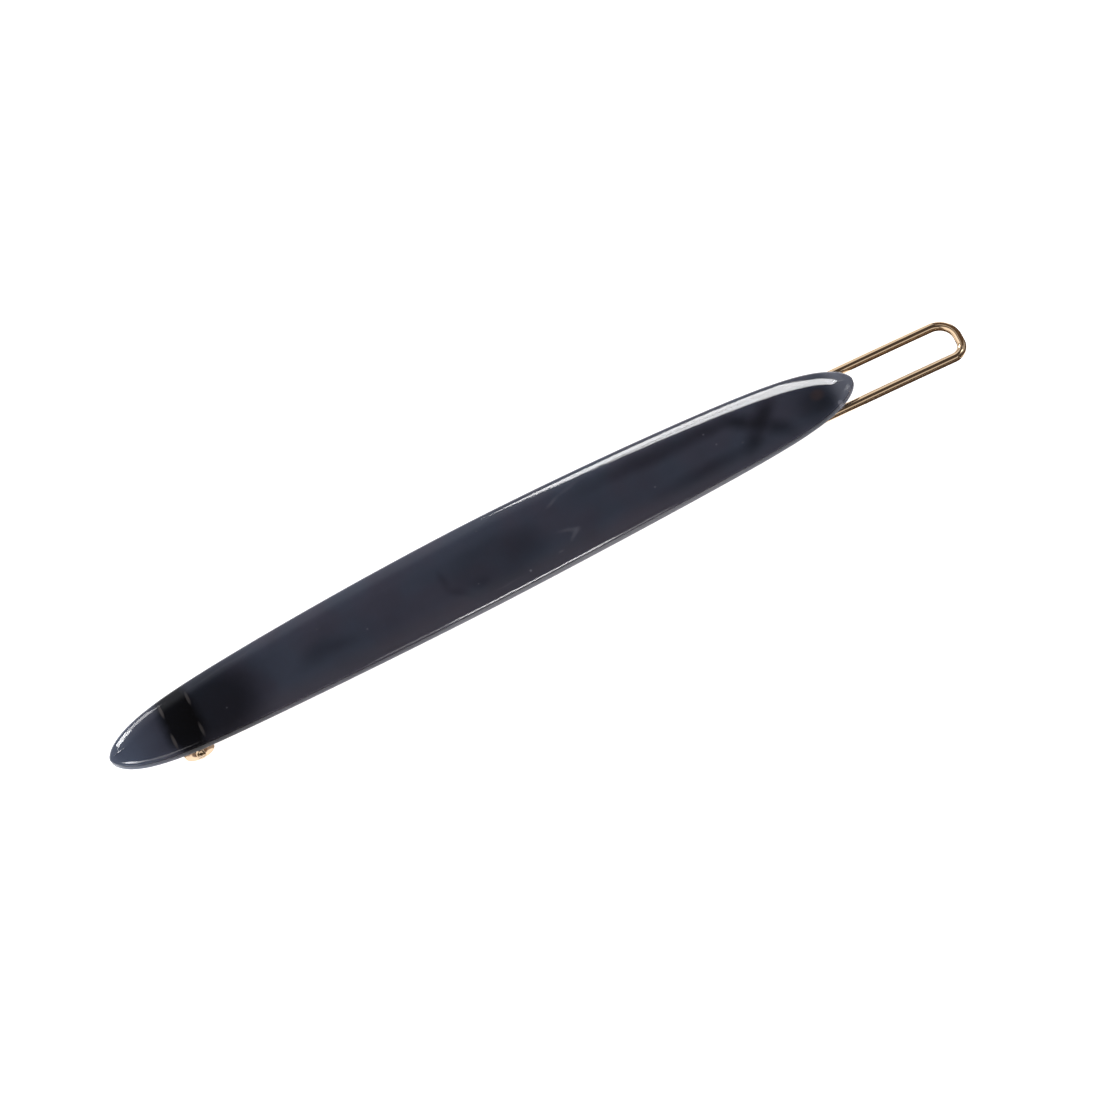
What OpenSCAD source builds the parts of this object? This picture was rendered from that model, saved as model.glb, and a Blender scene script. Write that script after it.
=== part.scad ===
// Hair clip of the wire loop and ball kind, seen lying on its clasp.
// A slim arched acetate plate carries a hinge bracket near its left tip and a ball
// near its right tip. A long U of wire turns in the bracket, runs under the plate,
// slips over the ball and stands out past the right tip as a finger hold.
//
// Units are millimetres, +Z is up and +X runs from the hinge to the loop's free end.
// The origin is on the surface, under the middle of the whole clip.
// The clip is first drawn level, with x = 0 at the plate's left tip and z = 0 at the
// height of both tips, and is then laid on its bracket ears and its ball.

/* [Plate] */
// Length of the plate from tip to tip
plate_length = 107; // [100:0.5:115]
// Width of the plate at its middle
plate_width = 12.15; // [11.6:0.05:14]
// Thickness of the plate
plate_thickness = 2.1; // [2:0.1:2.6]
// Rise of the middle of the arched plate above its tips
arch_rise = 1.6; // [1.2:0.1:2]
// Width of the soft slope that runs round the upper edge
top_edge_width = 2.4; // [1.2:0.1:3]
// Height of that soft slope
top_edge_height = 0.85; // [0.5:0.05:1]
// Radius of the lower edge
lower_edge_radius = 0.25; // [0.2:0.05:0.6]

/* [Plate outline] */
// Share of the taper that belongs to the long belly curve, the rest is at the tips
belly_share = 0.54; // [0.4:0.01:0.7]
// Power of the belly curve, where 2 is a parabola
belly_power = 1.75; // [1.5:0.05:2.5]
// Power of the tip curve, where more keeps the plate broad nearer to its tips
tip_power = 11; // [8:0.5:14]
// Roundness of the tips, where 0.5 is fully round and 1 is a sharp point
tip_sharpness = 0.62; // [0.5:0.01:0.75]

/* [Clasp] */
// Distance from the middle line of the plate to that of the whole clasp
clasp_offset = 0.32; // [0:0.02:0.5]

/* [Wire loop] */
// Diameter of the wire
wire_diameter = 1.2; // [1:0.05:1.3]
// Distance between the centre lines of the two arms
arm_spacing = 5.36; // [5:0.02:6]
// Length of loop that shows past the plate's right tip
loop_overhang = 15.2; // [10:0.1:20]
// Centre line radius of the handle's corner on the far side, +Y
handle_far_radius = 2.75; // [2.5:0.05:2.75]
// Centre line radius of the handle's tighter corner on the near side, -Y
handle_near_radius = 1.7; // [1.5:0.05:2.2]
// Radius of the arch that the arms are bent to
loop_arch_radius = 620; // [600:5:700]
// Centre line radius of the bend between each arm and its pin
pin_bend_radius = 0.7; // [0.65:0.01:0.74]

/* [Hinge bracket] */
// Distance from the plate's left tip to the hinge
hinge_x = 10.65; // [10:0.05:14]
// Depth of the hinge axis below the plate
hinge_drop = 1.85; // [1.7:0.05:2.2]
// Length of the bracket along the plate
bracket_length = 4.1; // [3.4:0.1:4.4]
// Thickness of the bracket's sheet metal
sheet_thickness = 0.4; // [0.3:0.05:0.5]
// Gap between an arm and the ear beside it
ear_gap = 0.16; // [0.1:0.02:0.3]
// Clearance all round a pin in its hole
pin_clearance = 0.05; // [0.03:0.01:0.08]
// Length of pin that stands out of an ear
pin_stub = 0.8; // [0.2:0.05:1]
// Width of each prong that is pressed into the plate
prong_width = 2.5; // [1.6:0.1:2.8]
// Depth of the prongs in the plate
prong_depth = 1.1; // [0.8:0.1:1.3]

/* [Ball stud] */
// Diameter of the ball
ball_diameter = 4; // [3.6:0.05:4.05]
// Distance from the plate's left tip to the ball
ball_x = 102; // [98:0.5:103]
// Depth of the ball's centre below the plate
ball_drop = 2.15; // [2.1:0.05:2.5]
// Gap between the closed loop and the plate at the ball
catch_gap = 0.25; // [0.2:0.01:0.3]
// Diameter of the shank that carries the ball and is pressed into the plate
shank_diameter = 2; // [1.6:0.1:2.4]
// Depth of the shank in the plate
shank_depth = 1.2; // [0.8:0.1:1.4]

/* [Hidden] */

// Facets of the plate: round its outline, down its upper slope and its lower edge
outline_sides = 80;
slope_steps = 8;
edge_steps = 4;
// Facets of round wire, pins and ball, and of a full turn of the long arch
round_sides = 48;
arch_sides = 900;

acetate_colour = [0.20, 0.21, 0.25];
gold_colour = [0.85, 0.68, 0.42];

half_length = plate_length / 2;
half_thickness = plate_thickness / 2;
wire_radius = wire_diameter / 2;
ball_radius = ball_diameter / 2;
total_length = plate_length + loop_overhang;

// The plate's middle surface is part of a cylinder that lies across the plate
arch_radius = (half_length * half_length + arch_rise * arch_rise) / (2 * arch_rise);
arch_centre_z = arch_rise - arch_radius;

// Height of the plate's underside at a distance x from its left tip
function underside_z(x) =
    arch_centre_z
    + sqrt(pow(arch_radius - half_thickness, 2) - pow(x - half_length, 2));

// Angle by which the plate dips towards +X there
function plate_dip(x) = asin((x - half_length) / arch_radius);

// Hinge axis, where the bracket stands square on the plate's underside
hinge_dip = plate_dip(hinge_x);
hinge_point = [
    hinge_x - hinge_drop * sin(hinge_dip),
    underside_z(hinge_x) - hinge_drop * cos(hinge_dip)
];

// Centre of the ball
ball_dip = plate_dip(ball_x);
ball_point = [
    ball_x - ball_drop * sin(ball_dip),
    underside_z(ball_x) - ball_drop * cos(ball_dip)
];

// The arms follow one arc through the hinge and just under the plate at the ball
catch_point = [ball_x, underside_z(ball_x) - catch_gap - wire_radius];
arm_chord = catch_point - hinge_point;
arm_sag_run = sqrt(pow(loop_arch_radius, 2) - pow(norm(arm_chord) / 2, 2));
loop_centre = (hinge_point + catch_point) / 2
    + arm_sag_run / norm(arm_chord) * [arm_chord[1], -arm_chord[0]];
loop_end_x = total_length - handle_far_radius - wire_radius;
arm_start_angle = acos((hinge_point[0] - loop_centre[0]) / loop_arch_radius)
    - asin(pin_bend_radius / loop_arch_radius);
arm_end_angle = acos((loop_end_x - loop_centre[0]) / loop_arch_radius);

// The bracket's ears hold the pins from outside
ear_inner_y = arm_spacing / 2 + wire_radius + ear_gap;
ear_outer_y = ear_inner_y + sheet_thickness;
ear_radius = bracket_length / 2;
pin_hole_radius = wire_radius + pin_clearance;
pin_start_y = arm_spacing / 2 + pin_bend_radius;
pin_dome_radius = 0.9;
joint_margin = 0.02;
joint_ring_length = 0.2;
sheet_bend_radius = 0.5;
prong_inset = 0.12;

// The clip lies on the round ears and on the ball, so the surface touches both circles
rest_run = ball_point - hinge_point;
rest_angle = atan2(rest_run[1], rest_run[0])
    - asin((ball_radius - ear_radius) / norm(rest_run));
rest_lift = ear_radius
    - (hinge_point[1] * cos(rest_angle) - hinge_point[0] * sin(rest_angle));

// Lays a level piece on the surface, with the middle of the clip over the origin
module laid() {
    translate([-total_length / 2, 0, rest_lift])
        rotate([0, rest_angle, 0]) children();
}

// Puts a piece of the clasp square on the plate's underside, which is its z = 0
module under_plate(x) {
    translate([x, clasp_offset, underside_z(x)])
        rotate([0, plate_dip(x), 0]) children();
}

// Puts a piece on the loop's arch, with +X along the arms and +Z out of the arch
module on_loop_arch(angle) {
    translate([
        loop_centre[0] + loop_arch_radius * cos(angle),
        clasp_offset,
        loop_centre[1] + loop_arch_radius * sin(angle)
    ])
        rotate([0, 90 - angle, 0]) children();
}

// Half width of the plate at u, from 0 at the middle to 1 at a tip, as a share
function outline_share(u) =
    pow(
        max(0, 1 - belly_share * pow(u, belly_power) - (1 - belly_share) * pow(u, tip_power)),
        tip_sharpness
    );

// A point of the flat plate, bent to the arch
function arched(x, y, z) =
    let (turn = asin(x / arch_radius))
    [
        half_length + (arch_radius + z) * sin(turn),
        y,
        arch_centre_z + (arch_radius + z) * cos(turn)
    ];

// The plate's outline, drawn in by inset and raised by z above the middle surface
function plate_ring(inset, z) =
    [
        for (i = [0 : outline_sides - 1])
            let (turn = 360 * i / outline_sides)
            let (across = i % (outline_sides / 2) == 0 ? 0 : sign(sin(turn)))
            arched(
                (half_length - inset) * cos(turn),
                (plate_width / 2 - inset) * across * outline_share(abs(cos(turn))),
                z
            )
    ];

// Polished plate: flat across its top, with a long soft slope to the upper edge
module plate() {
    upper_rings = [
        for (i = [0 : slope_steps])
            let (turn = 90 - 90 * i / slope_steps)
            plate_ring(
                top_edge_width * (1 - cos(turn)),
                half_thickness - top_edge_height * (1 - sin(turn))
            )
    ];
    lower_rings = [
        for (i = [0 : edge_steps])
            let (turn = 90 * i / edge_steps)
            plate_ring(
                lower_edge_radius * (1 - cos(turn)),
                lower_edge_radius * (1 - sin(turn)) - half_thickness
            )
    ];
    rings = concat(upper_rings, lower_rings);
    last = (len(rings) - 1) * outline_sides;
    half = outline_sides / 2;
    side_faces = [
        for (r = [0 : len(rings) - 2])
            for (i = [0 : outline_sides - 1])
                let (a = r * outline_sides, b = (i + 1) % outline_sides)
                [a + i, a + b, a + outline_sides + b, a + outline_sides + i]
    ];
    top_faces = [
        for (i = [0 : half - 1])
            i == 0 ? [1, 0, outline_sides - 1]
            : i == half - 1 ? [half, half - 1, half + 1]
            : [i + 1, i, outline_sides - i, outline_sides - i - 1]
    ];
    bottom_faces = [
        for (face = top_faces) [for (k = [len(face) - 1 : -1 : 0]) last + face[k]]
    ];
    color(acetate_colour)
        laid()
            polyhedron(
                [for (ring = rings) each ring],
                concat(side_faces, top_faces, bottom_faces),
                convexity = 4
            );
}

// Sheet metal channel: a base on the plate and an ear on each side
module bracket_channel() {
    inner_width = 2 * ear_inner_y;
    outer_width = 2 * ear_outer_y;
    ear_height = hinge_drop + ear_radius;
    corner = sheet_bend_radius;
    translate([bracket_length / 2, 0, 0])
        rotate([90, 0, -90])
            linear_extrude(bracket_length)
                difference() {
                    union() {
                        translate([-outer_width / 2, -ear_height])
                            square([outer_width, ear_height - corner]);
                        translate([-outer_width / 2 + corner, -corner])
                            square([outer_width - 2 * corner, corner]);
                        for (side = [-1, 1])
                            translate([side * (outer_width / 2 - corner), -corner])
                                circle(r = corner, $fn = round_sides);
                    }
                    translate([-inner_width / 2, -ear_height - 1])
                        square([inner_width, ear_height + 1 - sheet_thickness]);
                }
}

// Side view of the bracket, round below the hinge axis, carried right through
module bracket_side_profile() {
    through = 2 * ear_outer_y + 2;
    rotate([90, 0, 0])
        translate([0, 0, -through / 2])
            linear_extrude(through)
                union() {
                    translate([-bracket_length / 2, -hinge_drop])
                        square([bracket_length, hinge_drop + 1]);
                    translate([0, -hinge_drop])
                        circle(r = ear_radius, $fn = 2 * round_sides);
                }
}

// Stamped and folded bracket with four prongs in the acetate and a hole in each ear
module hinge_bracket() {
    prong_y = ear_outer_y - prong_inset - prong_width / 2;
    color(gold_colour)
        laid()
            under_plate(hinge_x) {
                difference() {
                    intersection() {
                        bracket_channel();
                        bracket_side_profile();
                    }
                    translate([0, 0, -hinge_drop])
                        rotate([90, 0, 0])
                            cylinder(
                                r = pin_hole_radius, h = 2 * ear_outer_y + 2,
                                center = true, $fn = round_sides
                            );
                }
                for (end = [-1, 1])
                    for (side = [-1, 1])
                        translate([
                            end * (bracket_length - sheet_thickness) / 2 - sheet_thickness / 2,
                            side * prong_y - prong_width / 2,
                            -sheet_thickness
                        ])
                            cube([
                                sheet_thickness,
                                prong_width,
                                sheet_thickness + prong_depth
                            ]);
            }
}

// The bend and the pin at the hinge end of one arm, side is 1 or -1. The ring over
// the joint with the arm is a hair wider than the wire, so that the two always meet
module loop_pin(side) {
    translate([0, side * arm_spacing / 2, 0])
        rotate([0, 90, 0])
            cylinder(
                r = wire_radius + joint_margin, h = joint_ring_length,
                center = true, $fn = round_sides
            );
    translate([0, side * pin_start_y, 0])
        rotate([0, 0, side == 1 ? 180 : 90])
            rotate_extrude(angle = 90, $fn = round_sides)
                translate([pin_bend_radius, 0])
                    circle(r = wire_radius, $fn = round_sides);
    translate([-pin_bend_radius, side * pin_start_y, 0])
        rotate([-90 * side, 0, 0])
            domed_pin(ear_outer_y + pin_stub - pin_start_y);
}

// Round pin along +Z with a domed end
module domed_pin(length) {
    intersection() {
        cylinder(r = wire_radius, h = length, $fn = round_sides);
        translate([0, 0, length - pin_dome_radius])
            sphere(r = pin_dome_radius, $fn = round_sides);
    }
}

// A quarter turn of wire at one corner of the handle, side is 1 or -1
module handle_corner(side, radius) {
    translate([handle_far_radius - radius, side * (arm_spacing / 2 - radius), 0])
        rotate([0, 0, side == 1 ? 0 : -90])
            rotate_extrude(angle = 90, $fn = 2 * round_sides)
                translate([radius, 0])
                    circle(r = wire_radius, $fn = round_sides);
}

// Handle at the free end of the loop: a wide corner, a short cross bar and a tighter
// corner, whose arm runs on straight for as much as the corner is tighter
module loop_handle() {
    cross_bar = arm_spacing - handle_far_radius - handle_near_radius;
    handle_corner(1, handle_far_radius);
    handle_corner(-1, handle_near_radius);
    translate([handle_far_radius, handle_near_radius - arm_spacing / 2, 0])
        rotate([-90, 0, 0])
            cylinder(r = wire_radius, h = cross_bar, $fn = round_sides);
    translate([0, -arm_spacing / 2, 0])
        rotate([0, 90, 0])
            cylinder(
                r = wire_radius, h = handle_far_radius - handle_near_radius,
                $fn = round_sides
            );
}

// Long U of round wire: two arched arms, a handle and two outward pins
module wire_loop() {
    color(gold_colour)
        laid()
            union() {
                on_loop_arch(arm_end_angle) {
                    for (side = [-1, 1])
                        translate([0, side * arm_spacing / 2, -loop_arch_radius])
                            rotate([90, 0, 0])
                                rotate_extrude(
                                    angle = arm_start_angle - arm_end_angle,
                                    start = 90,
                                    $fn = arch_sides
                                )
                                    translate([loop_arch_radius, 0])
                                        circle(r = wire_radius, $fn = round_sides);
                    loop_handle();
                }
                on_loop_arch(arm_start_angle)
                    for (side = [-1, 1])
                        loop_pin(side);
            }
}

// Ball on a plain shank, which is pressed into the acetate
module ball_stud() {
    color(gold_colour)
        laid()
            under_plate(ball_x)
                translate([0, 0, -ball_drop])
                    union() {
                        sphere(r = ball_radius, $fn = round_sides);
                        cylinder(
                            d = shank_diameter, h = ball_drop + shank_depth, $fn = round_sides
                        );
                    }
}

plate();
hinge_bracket();
wire_loop();
ball_stud();
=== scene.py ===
import math

import bmesh
import bpy
from mathutils import Matrix, Quaternion, Vector


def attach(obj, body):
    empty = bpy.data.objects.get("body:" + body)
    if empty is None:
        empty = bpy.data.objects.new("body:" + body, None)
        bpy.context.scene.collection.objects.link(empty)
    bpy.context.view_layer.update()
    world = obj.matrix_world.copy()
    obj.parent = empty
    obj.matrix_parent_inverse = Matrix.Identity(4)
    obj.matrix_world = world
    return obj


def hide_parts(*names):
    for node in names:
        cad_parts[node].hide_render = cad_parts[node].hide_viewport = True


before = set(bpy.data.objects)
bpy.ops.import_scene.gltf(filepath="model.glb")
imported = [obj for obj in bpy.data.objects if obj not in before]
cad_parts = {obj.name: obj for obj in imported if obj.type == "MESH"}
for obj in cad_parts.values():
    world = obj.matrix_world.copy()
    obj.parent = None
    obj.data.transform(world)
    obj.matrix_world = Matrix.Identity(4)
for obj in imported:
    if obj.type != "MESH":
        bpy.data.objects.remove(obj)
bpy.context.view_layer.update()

# The clip as it lies. Like the source, each piece is drawn level in millimetres, with
# x = 0 at the plate's left tip and z = 0 at the height of both tips, and is then laid
# on the bracket's ears and the ball, with the middle of the clip over the origin. The
# angle and the lift are those that the source works out for that.
CLIP_LENGTH = 122.2
LIE_ANGLE = math.radians(-0.33816)
LIE_LIFT = 4.31173
MM = 0.001
laid = (
    Matrix.Scale(MM, 4)
    @ Matrix.Translation((-CLIP_LENGTH / 2, 0, LIE_LIFT))
    @ Matrix.Rotation(LIE_ANGLE, 4, "Y")
)


# Camera. A long lens looks square across the clip from the hinge pins' near side, high
# above it, and is rolled so that the clip rises to the right across the picture.
VIEW_ELEVATION = math.radians(62.0)
VIEW_ROLL = math.radians(27.065)
PICTURE_SIDE = 1095
PIXELS_PER_MM = 7.8
LEFT_TIP_PIXEL = (110.3, 761.0)
CAMERA_DISTANCE = 1.5

level_up = Vector((0, math.sin(VIEW_ELEVATION), math.cos(VIEW_ELEVATION)))
to_camera = Vector((0, -math.cos(VIEW_ELEVATION), math.sin(VIEW_ELEVATION)))
picture_right = math.cos(VIEW_ROLL) * Vector((1, 0, 0)) - math.sin(VIEW_ROLL) * level_up
picture_up = math.sin(VIEW_ROLL) * Vector((1, 0, 0)) + math.cos(VIEW_ROLL) * level_up
left_tip = laid @ Vector((0, 0, 0))
middle_pixel = PICTURE_SIDE / 2
looked_at = (
    left_tip
    + picture_right * ((middle_pixel - LEFT_TIP_PIXEL[0]) / PIXELS_PER_MM * MM)
    + picture_up * ((LEFT_TIP_PIXEL[1] - middle_pixel) / PIXELS_PER_MM * MM)
)

camera_data = bpy.data.cameras.new("product_camera")
camera_data.sensor_width = 36.0
camera_data.lens = (
    camera_data.sensor_width * CAMERA_DISTANCE * PIXELS_PER_MM / PICTURE_SIDE / MM
)
camera_data.clip_start, camera_data.clip_end = 0.05, 50.0
camera = bpy.data.objects.new("product_camera", camera_data)
bpy.context.collection.objects.link(camera)
camera_axes = Matrix((picture_right, picture_up, to_camera)).transposed()
camera.matrix_world = (
    Matrix.Translation(looked_at + to_camera * CAMERA_DISTANCE) @ camera_axes.to_4x4()
)
bpy.context.scene.camera = camera


# Plate: the slim arched leaf that shows. It is cut from 2.1 mm cellulose acetate sheet,
# bent to a shallow arch, tumbled until its upper edge is a soft slope and its top is
# glossy, and left satin underneath, where the clasp is fixed.
PLATE_LENGTH = 107.0
PLATE_WIDTH = 12.15
PLATE_THICKNESS = 2.1
ARCH_RISE = 1.6
TOP_EDGE_WIDTH = 2.4
TOP_EDGE_HEIGHT = 0.85
LOWER_EDGE_RADIUS = 0.25
BELLY_SHARE = 0.54
BELLY_POWER = 1.75
TIP_POWER = 11.0
TIP_SHARPNESS = 0.62

plate_half = PLATE_LENGTH / 2
arch_radius = (plate_half**2 + ARCH_RISE**2) / (2 * ARCH_RISE)
arch_centre_z = ARCH_RISE - arch_radius


def underside_z(x):
    """Height of the plate's underside at a distance x from its left tip."""
    inner = arch_radius - PLATE_THICKNESS / 2
    return arch_centre_z + math.sqrt(inner**2 - (x - plate_half) ** 2)


def plate_dip(x):
    """Angle by which the plate dips towards +X at x."""
    return math.asin((x - plate_half) / arch_radius)


def add_node(tree, kind, values=None, **settings):
    """Adds a node, with its settings and with a value or a link for each input named."""
    node = tree.nodes.new(kind)
    for name, setting in settings.items():
        setattr(node, name, setting)
    for name, value in (values or {}).items():
        if isinstance(value, bpy.types.NodeSocket):
            tree.links.new(value, node.inputs[name])
        else:
            node.inputs[name].default_value = value
    return node


def make_piece(tree, values, name, start_mesh=None):
    """Runs a geometry tree with these inputs and keeps its result as a plain mesh."""
    start_mesh = start_mesh or bpy.data.meshes.new(name + "_start")
    carrier = bpy.data.objects.new(name + "_carrier", start_mesh)
    bpy.context.collection.objects.link(carrier)
    modifier = carrier.modifiers.new(name, "NODES")
    modifier.node_group = tree
    for item in tree.interface.items_tree:
        if item.in_out == "INPUT" and item.name in values:
            modifier[item.identifier] = values[item.name]
    seen = carrier.evaluated_get(bpy.context.evaluated_depsgraph_get())
    mesh = bpy.data.meshes.new_from_object(seen)
    bpy.data.objects.remove(carrier)
    piece = bpy.data.objects.new(name, mesh)
    bpy.context.collection.objects.link(piece)
    return piece


def linear(hex_colour):
    """An sRGB hex colour as linear red, green, blue and a full alpha."""
    parts = [int(hex_colour[i : i + 2], 16) / 255 for i in (1, 3, 5)]
    return [c / 12.92 if c <= 0.04045 else ((c + 0.055) / 1.055) ** 2.4 for c in parts] + [1.0]


# Cellulose acetate, dyed a smoky blue black, cast in blocks, sliced and tumble polished.
# The eye gets a dark slate with soft dark clouds and pale wisps of dye inside, and a few
# dust specks. In the real clip the satin underside blurs the metal below to two dark bands,
# a black block with pale prong marks and a brown spot. Here the metal is hidden from what
# is seen through the acetate, and its look is painted into the acetate's colour instead:
# painted shade for the bands, the block, the darker middle and the dark round the ball,
# painted glints for the prong marks, and a painted image of the ball's shank for the spot.
# The tips are painted lighter and bluer, and the long edges lighter, where more light comes
# up through the acetate.
MIDDLE_X = CLIP_LENGTH / 2
# Dark patches painted into the acetate's colour. Most are painted shade: the black block over the bracket
# and the shade beside it (first two rows), the darker middle, the two bands under the wire's arms and the
# dark round the ball (last two rows). The small patches between are smoke in the dye, and the five near x
# 92 to 96 make a dark X.
CLOUDS_AND_PAINTED_SHADE = (
    # x, y, half length, half width in mm, turn in degrees, share at full depth, depth
    (10.55, -0.2, 3.35, 9.0, 0, 0.50, 0.955),
    (15.4, -1.0, 9.6, 9.0, 6, 0.30, 0.82),
    (30.2, -1.0, 4.4, 2.6, 6, 0.0, 0.36),
    (33.4, -1.5, 3.0, 1.4, -4, 0.0, 0.24),
    (55.9, -1.2, 9.4, 4.6, 0, 0.45, 0.27),
    (48.5, -0.2, 2.6, 0.9, -86, 0.0, 0.26),
    (49.7, -2.8, 2.4, 0.9, -38, 0.0, 0.24),
    (52.8, -3.0, 1.8, 1.3, 0, 0.0, 0.20),
    (59.5, -0.5, 4.2, 2.4, 10, 0.0, 0.18),
    (80.0, 2.15, 15.0, 2.0, -1.5, 0.1, 0.50),
    (87.5, 1.90, 5.6, 1.5, -3, 0.0, 0.36),
    (85.0, -3.15, 11.0, 1.6, 1, 0.0, 0.44),
    (91.6, 0.90, 3.8, 2.0, -34, 0.0, 0.70),
    (92.1, -2.2, 3.6, 2.0, 52, 0.0, 0.60),
    (94.9, 0.75, 3.2, 1.9, 45, 0.0, 0.70),
    (95.7, -2.0, 4.0, 2.0, -37, 0.0, 0.60),
    (93.6, -0.4, 2.2, 2.0, 0, 0.0, 0.44),
    (101.5, -1.2, 4.6, 4.2, -10, 0.12, 0.64),
    (102.7, -1.9, 2.2, 1.5, 10, 0.0, 0.28),
)
# Pale spots: wisps in the dye and dust specks, with a painted reflection, the long thin line inside the
# far edge (first row), and two painted glints near the right tip (last two rows).
PALE_WISPS_AND_GLINTS = (
    # x, y, half length, half width in mm, turn in degrees, share of white
    (19.8, 3.85, 8.0, 0.30, 5.4, 0.06),
    (65.4, 2.75, 1.6, 0.42, 25, 0.26),
    (68.0, 3.50, 2.6, 0.40, 12, 0.15),
    (65.6, -1.95, 1.8, 0.40, -15, 0.22),
    (66.1, -2.90, 1.5, 0.42, 40, 0.28),
    (66.6, -2.40, 0.9, 0.60, 0, 0.18),
    (63.7, -4.25, 0.6, 0.24, 8, 0.30),
    (55.7, -4.85, 2.8, 0.20, 1, 0.13),
    (59.13, -4.69, 0.21, 0.21, 0, 1.6),
    (37.1, -1.36, 0.16, 0.16, 0, 0.9),
    (16.5, -1.85, 0.15, 0.15, 0, 0.5),
    (31.3, 2.0, 0.13, 0.13, 0, 0.5),
    (52.42, -3.0, 0.15, 0.15, 0, 0.6),
    (55.17, 3.95, 0.14, 0.14, 0, 0.5),
    (78.13, -2.03, 0.17, 0.17, 0, 1.0),
    (86.7, 1.67, 0.16, 0.16, 0, 0.9),
    (87.63, -0.45, 0.17, 0.17, 0, 0.9),
    (90.74, -1.88, 0.15, 0.15, 0, 0.6),
    (105.95, -1.33, 0.44, 0.36, 30, 3.0),
    (104.2, -2.5, 0.42, 0.28, 25, 5.0),
)
PRONG_GLINTS = (
    # x, y, half length in mm and strength of the painted glint that stands for each prong's edge seen
    # through the acetate
    (8.66, 2.18, 1.35, 0.62),
    (8.54, -2.53, 1.5, 0.55),
    (12.5, 2.10, 1.3, 0.42),
    (12.4, -2.82, 1.35, 0.36),
)
PRONG_GLINT_HALF_WIDTH, PRONG_GLINT_CORE = 0.28, 0.3
# A painted image of the ball's shank seen through the acetate: a brown spot in its colour
BROWN_SPOT = (102.0, -0.35, 1.3, 1.15)
BROWN_CORE, BROWN_STRENGTH = 0.35, 0.88
TIP_LIGHT_TINTS = (
    # where the body's colour ends and the tip's is full, x in mm, and the tip's colour, painted lighter
    # and bluer where more light comes up through the thin tip
    (8.4, 1.0, "#9EABC6"),
    (103.0, 105.3, "#D6D9E8"),
)
# Painted light: the acetate's colour is lighter towards the two long edges, where more light comes up
# through it: from and to, in mm off the painted shade's axis
SHADE_AXIS_Y = -0.4
EDGE_LIGHT_FROM, EDGE_LIGHT_TO, EDGE_LIGHT_GAIN = 2.0, 5.2, 1.4
ACETATE_IOR = 1.48
DYE_COLOUR, DYE_DENSITY = (0.03, 0.07, 0.17, 1.0), 1450.0


acetate = bpy.data.materials.new("smoky_cellulose_acetate_polished")
acetate.use_nodes = True
tree = acetate.node_tree
tree.nodes.clear()
place = add_node(tree, "ShaderNodeTexCoord")
in_mm = add_node(
    tree, "ShaderNodeVectorMath", {0: place.outputs["Object"], "Scale": 1 / MM}, operation="SCALE"
)
drift = add_node(
    tree,
    "ShaderNodeTexNoise",
    {"Vector": in_mm.outputs[0], "Scale": 0.35, "Detail": 2.0, "Roughness": 0.5},
)
drift_middle = add_node(
    tree, "ShaderNodeVectorMath", {0: drift.outputs["Color"], 1: (0.5, 0.5, 0.5)}, operation="SUBTRACT"
)
drifted = add_node(
    tree,
    "ShaderNodeVectorMath",
    {0: drift_middle.outputs[0], 1: (1.1, 0.7, 0.0), 2: in_mm.outputs[0]},
    operation="MULTIPLY_ADD",
)


def soft_spot(tree, vector, x, y, half_length, half_width, turn, edge, height):
    """A spot of this height on the plate that fades out towards its edge."""
    mapped = add_node(
        tree,
        "ShaderNodeMapping",
        {
            "Vector": vector,
            "Location": (x - MIDDLE_X, y, 0),
            "Rotation": (0, 0, math.radians(turn)),
            "Scale": (half_length, half_width, 1000),
        },
        vector_type="TEXTURE",
    )
    off_middle = add_node(
        tree, "ShaderNodeVectorMath", {0: mapped.outputs[0]}, operation="LENGTH"
    )
    spot = add_node(
        tree,
        "ShaderNodeMapRange",
        {"Value": off_middle.outputs["Value"], 1: edge, 2: 1.0, 3: height, 4: 0.0},
        interpolation_type="SMOOTHSTEP",
    )
    return spot.outputs[0]


# Smoke in the dye and painted shade darken the acetate's colour, patch by patch
smoke_and_shade = None
for x, y, half_length, half_width, turn, core, depth in CLOUDS_AND_PAINTED_SHADE:
    dark_patch = soft_spot(
        tree, drifted.outputs[0], x, y, half_length, half_width, turn, core, -depth
    )
    if smoke_and_shade is None:
        smoke_and_shade = add_node(tree, "ShaderNodeMath", {0: dark_patch, 1: 1.0}, operation="ADD")
    else:
        smoke_and_shade = add_node(
            tree,
            "ShaderNodeMath",
            {0: smoke_and_shade.outputs[0], 1: dark_patch, 2: smoke_and_shade.outputs[0]},
            operation="MULTIPLY_ADD",
        )
mottle = add_node(
    tree,
    "ShaderNodeTexNoise",
    {"Vector": in_mm.outputs[0], "Scale": 0.16, "Detail": 3.0, "Roughness": 0.5},
)
mottle_depth = add_node(
    tree,
    "ShaderNodeMapRange",
    {"Value": mottle.outputs["Fac"], 1: 0.35, 2: 0.65, 3: 0.92, 4: 1.06},
)
smoke_and_shade = add_node(
    tree, "ShaderNodeMath", {0: smoke_and_shade.outputs[0], 1: mottle_depth.outputs[0]}, operation="MULTIPLY"
)
# Pale wisps and dust specks, with the painted reflection line and the painted glints
wisps_and_glints = None
for x, y, half_length, half_width, turn, height in PALE_WISPS_AND_GLINTS:
    pale_spot = soft_spot(
        tree,
        drifted.outputs[0] if half_length > 0.5 else in_mm.outputs[0],
        x, y, half_length, half_width, turn, 0.0, height,
    )
    wisps_and_glints = pale_spot if wisps_and_glints is None else add_node(
        tree, "ShaderNodeMath", {0: wisps_and_glints, 1: pale_spot}, operation="ADD"
    ).outputs[0]

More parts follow.
